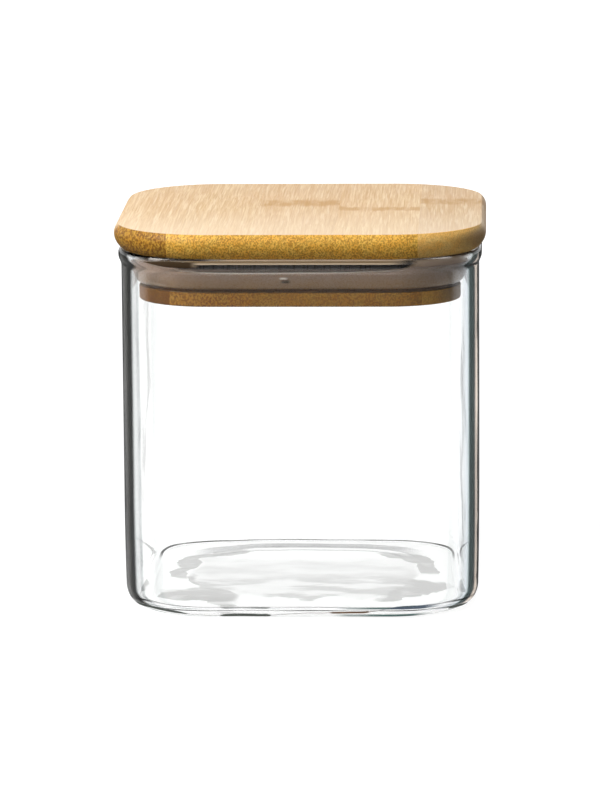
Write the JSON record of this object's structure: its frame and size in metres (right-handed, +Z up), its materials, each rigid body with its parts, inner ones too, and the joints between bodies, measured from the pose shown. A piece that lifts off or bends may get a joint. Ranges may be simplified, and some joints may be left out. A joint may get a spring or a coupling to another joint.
{
  "type": "storage jar",
  "caption": "Square glass storage jar with a thick laminated bamboo lid, whose plug carries a silicone seal and presses into the mouth.",
  "frame": {"origin": "on the table under the middle of the jar, in the plane of its foot", "axes": "+Z up out of the mouth, -Y towards the front, +X to the right; the bamboo strips run along Y"},
  "size_m": [0.1, 0.1, 0.1043],
  "materials": {
    "glass": "clear blown glass, fire polished",
    "bamboo": "fine sanded, lightly oiled bamboo",
    "silicone": "milky translucent silicone, satin"
  },
  "bodies": {
    "jar": {"glass_jar": "glass"},
    "lid": {"silicone_seal": "silicone", "top_strip_1": "bamboo", "top_strip_2": "bamboo", "top_strip_3": "bamboo", "top_strip_4": "bamboo", "top_strip_5": "bamboo", "plug_strip_1": "bamboo", "plug_strip_2": "bamboo", "plug_strip_3": "bamboo", "plug_strip_4": "bamboo", "plug_strip_5": "bamboo"}
  },
  "joints": [
    {"name": "lid_lift", "type": "slide", "parent": "jar", "child": "lid", "axis": [0, 0, 1], "range_m": [0, 0.06]}
  ]
}
